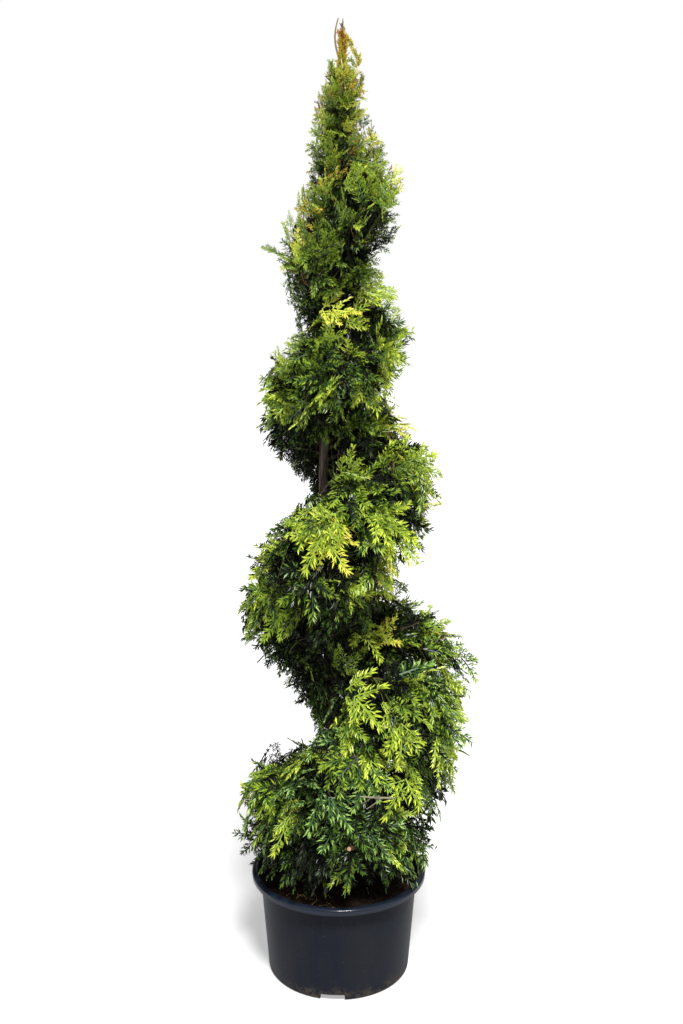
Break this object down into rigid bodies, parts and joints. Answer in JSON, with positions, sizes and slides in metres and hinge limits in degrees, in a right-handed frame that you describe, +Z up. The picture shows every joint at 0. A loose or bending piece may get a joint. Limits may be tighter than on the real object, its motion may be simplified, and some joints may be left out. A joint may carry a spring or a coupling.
{
  "type": "potted spiral topiary",
  "caption": "Evergreen conifer clipped into a rising spiral round its trunk, standing in a round black plastic nursery pot of soil.",
  "frame": {"origin": "centre of the pot's flat underside, which rests on the ground", "axes": "+Z up along the pot's axis, -Y towards the front, +X to the right seen from the front"},
  "size_m": [0.4807, 0.4439, 1.773],
  "materials": {
    "pot": "matt moulded black plastic with a blue cast, lightly scuffed",
    "soil": "dark crumbly potting soil",
    "bark": "fibrous grey-brown bark",
    "foliage": "scale-leaf sprays, mid green with yellow-green tips"
  },
  "bodies": {
    "root": {"pot": "pot", "soil": "soil", "trunk": "bark", "foliage_01": "foliage", "foliage_02": "foliage", "foliage_03": "foliage", "foliage_04": "foliage", "foliage_05": "foliage", "foliage_06": "foliage", "foliage_07": "foliage", "foliage_08": "foliage", "foliage_09": "foliage", "foliage_10": "foliage", "foliage_11": "foliage", "foliage_12": "foliage", "foliage_13": "foliage", "foliage_14": "foliage", "foliage_15": "foliage", "foliage_16": "foliage", "foliage_17": "foliage", "foliage_18": "foliage", "foliage_19": "foliage", "foliage_20": "foliage"}
  },
  "joints": []
}
